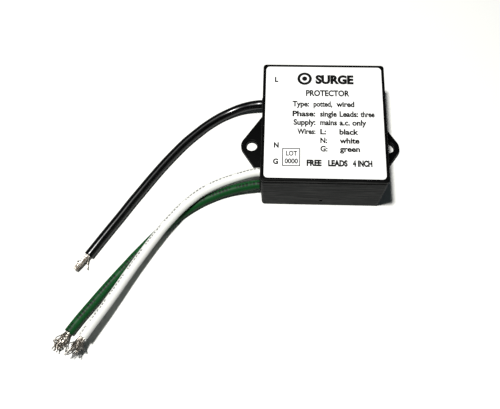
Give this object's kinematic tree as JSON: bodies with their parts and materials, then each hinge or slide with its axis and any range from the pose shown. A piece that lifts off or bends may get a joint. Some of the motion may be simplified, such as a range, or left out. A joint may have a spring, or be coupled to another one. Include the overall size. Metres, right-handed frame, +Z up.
{
  "type": "surge protection module",
  "caption": "Black potted surge protection module: square plastic case with a labelled top cover, two low screw ears and stranded flying leads for line, neutral and ground.",
  "frame": {"origin": "centre of the case's base on the surface it stands on, measured without the flying leads", "axes": "+X from the lead side to the far ear, across the label; +Y from the front wall to the back wall; +Z up, out of the label"},
  "size_m": [0.1282, 0.111, 0.0233],
  "materials": {
    "case_plastic": "black moulded plastic, fine matte texture",
    "label_film": "white printed film, satin",
    "board_laminate": "green solder mask",
    "disc_coating": "blue epoxy coating",
    "cutoff_body": "cream ceramic",
    "potting": "black cast epoxy",
    "line_insulation": "black insulation, semi-gloss",
    "neutral_insulation": "white insulation, semi-gloss",
    "ground_insulation": "green insulation, semi-gloss",
    "tinned_copper": "tinned copper strands, bright"
  },
  "bodies": {
    "root": {"case_tub": "case_plastic", "top_cover": "case_plastic", "rating_label": "label_film", "circuit_board": "board_laminate", "varistor_line_neutral": "disc_coating", "varistor_line_ground": "disc_coating", "varistor_neutral_ground": "disc_coating", "thermal_cutoff_line_neutral": "cutoff_body", "thermal_cutoff_line_ground": "cutoff_body", "thermal_cutoff_neutral_ground": "cutoff_body", "potting_compound": "potting", "line_lead_jacket": "line_insulation", "line_lead_tail": "line_insulation", "line_lead_strands": "tinned_copper", "line_lead_core": "tinned_copper", "neutral_lead_jacket": "neutral_insulation", "neutral_lead_tail": "neutral_insulation", "neutral_lead_strands": "tinned_copper", "neutral_lead_core": "tinned_copper", "ground_lead_jacket": "ground_insulation", "ground_lead_tail": "ground_insulation", "ground_lead_strands": "tinned_copper", "ground_lead_core": "tinned_copper"}
  },
  "joints": []
}
